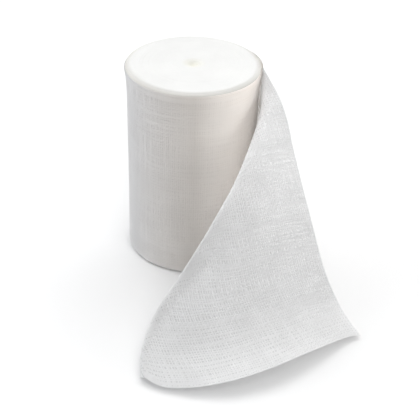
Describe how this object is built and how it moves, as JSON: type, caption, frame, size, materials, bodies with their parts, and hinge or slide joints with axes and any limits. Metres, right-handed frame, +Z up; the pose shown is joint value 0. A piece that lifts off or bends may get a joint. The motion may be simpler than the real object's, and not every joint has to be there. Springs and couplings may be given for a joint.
{
  "type": "crepe bandage roll",
  "caption": "White bandage of open plain weave, wound in a firm roll that stands on its end, its loose end fallen open beside it.",
  "frame": {"origin": "middle of the roll's lower end, on the surface that it stands on", "axes": "+Z up along the roll's axis, -Y the way the loose end runs out from the roll, +X the side to which the loose end falls open"},
  "size_m": [0.1107, 0.1467, 0.1],
  "materials": {
    "wound_cloth": "matte white open plain weave, many layers deep",
    "open_cloth": "matte white open plain weave, one sheer layer"
  },
  "bodies": {
    "root": {"roll": "wound_cloth", "loose_end": "open_cloth"}
  },
  "joints": []
}
